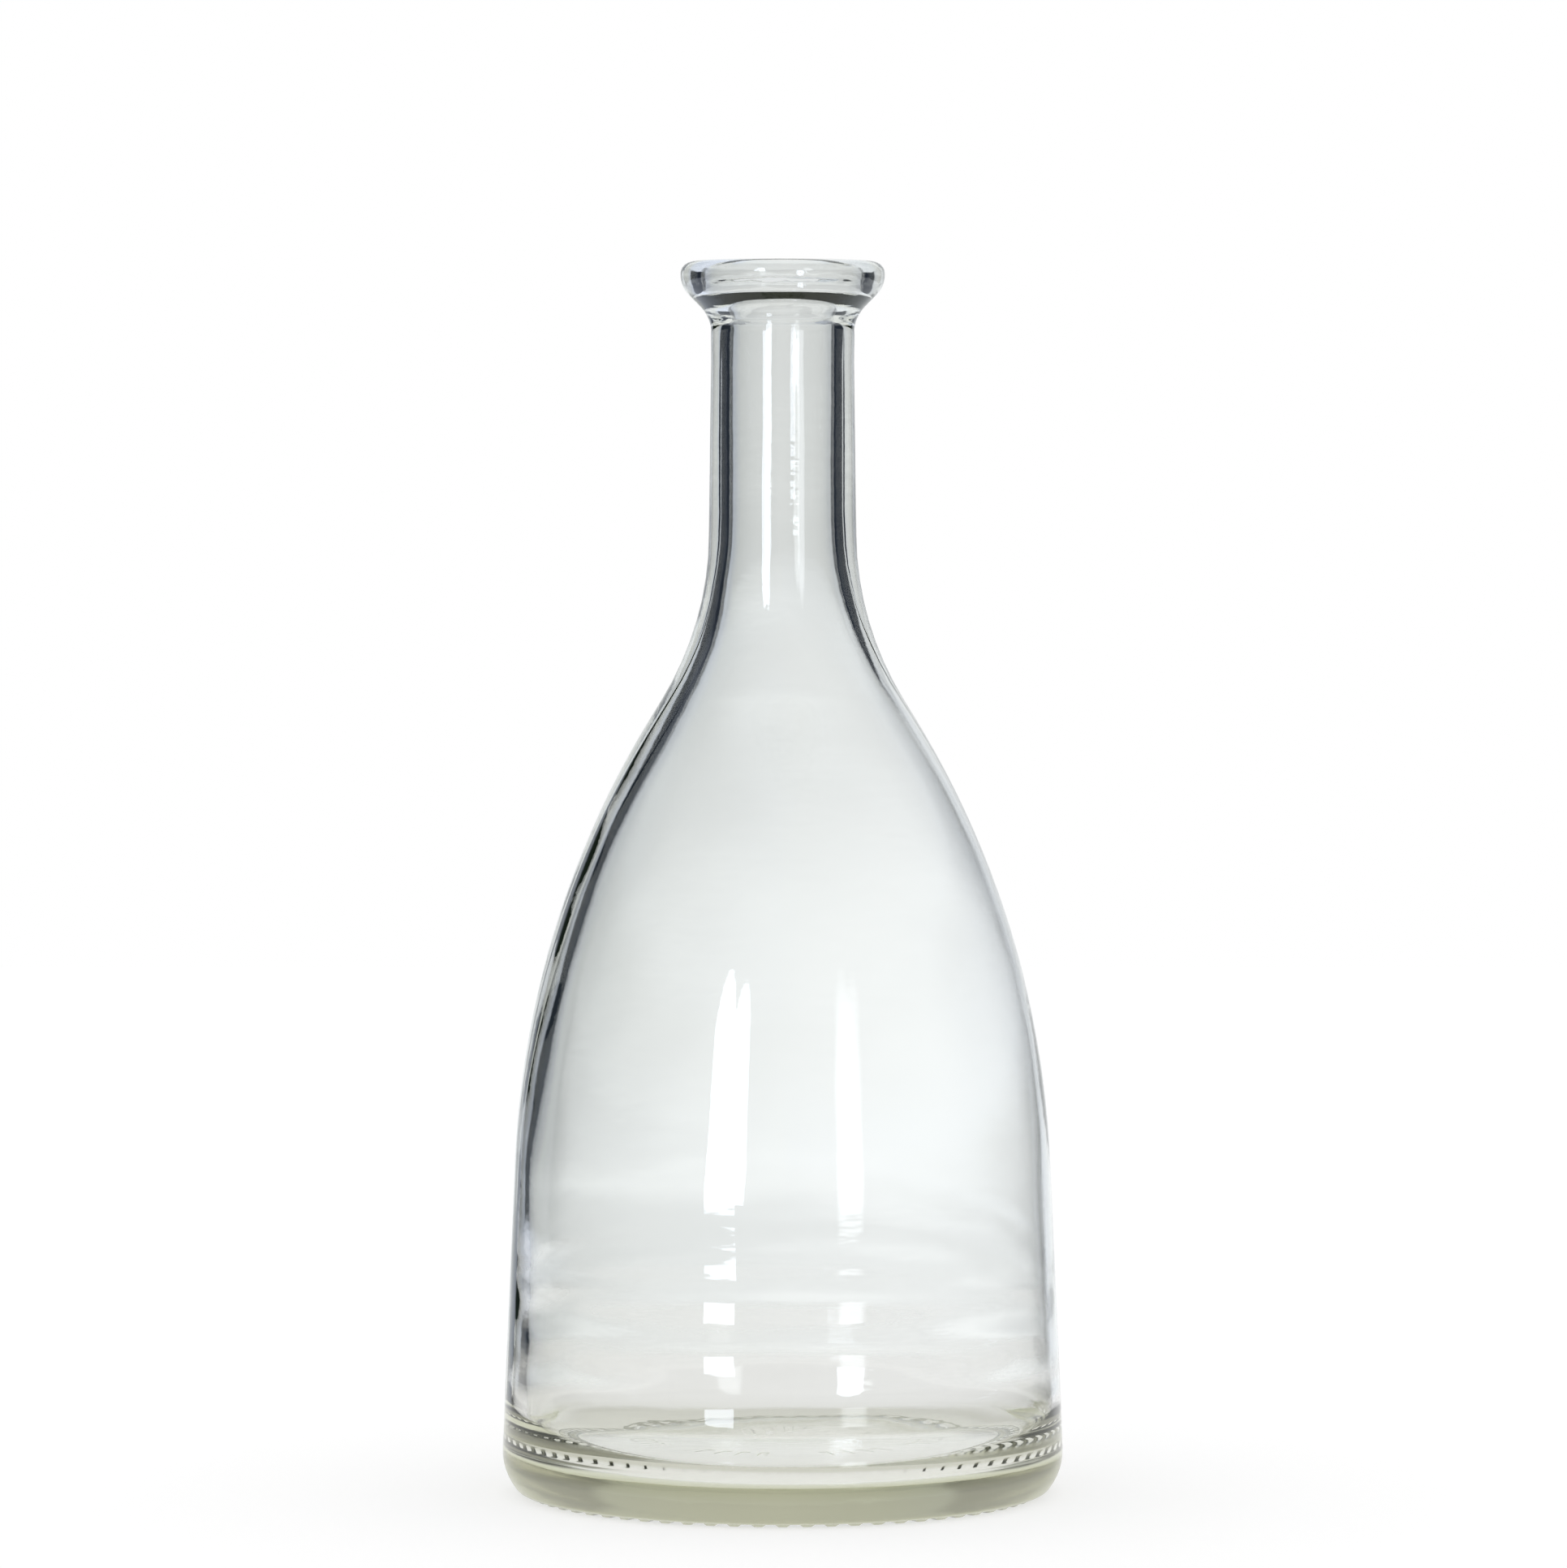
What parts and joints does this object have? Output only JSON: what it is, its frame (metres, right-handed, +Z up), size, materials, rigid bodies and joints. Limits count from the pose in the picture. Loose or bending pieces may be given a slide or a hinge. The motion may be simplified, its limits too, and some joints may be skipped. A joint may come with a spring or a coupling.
{
  "type": "glass bottle",
  "caption": "Clear glass bottle with a bell-shaped body, a long slim neck, a flared pouring lip with a bowl inside it, a cork bore, and a knurled foot ring.",
  "frame": {"origin": "middle of the plane that the bottle stands on", "axes": "+Z up along the bottle's axis, towards the mouth"},
  "size_m": [0.1, 0.1, 0.2191],
  "materials": {
    "glass": "clear, fire-polished, with a faint olive tint where it is thick"
  },
  "bodies": {
    "root": {"bottle": "glass"}
  },
  "joints": []
}
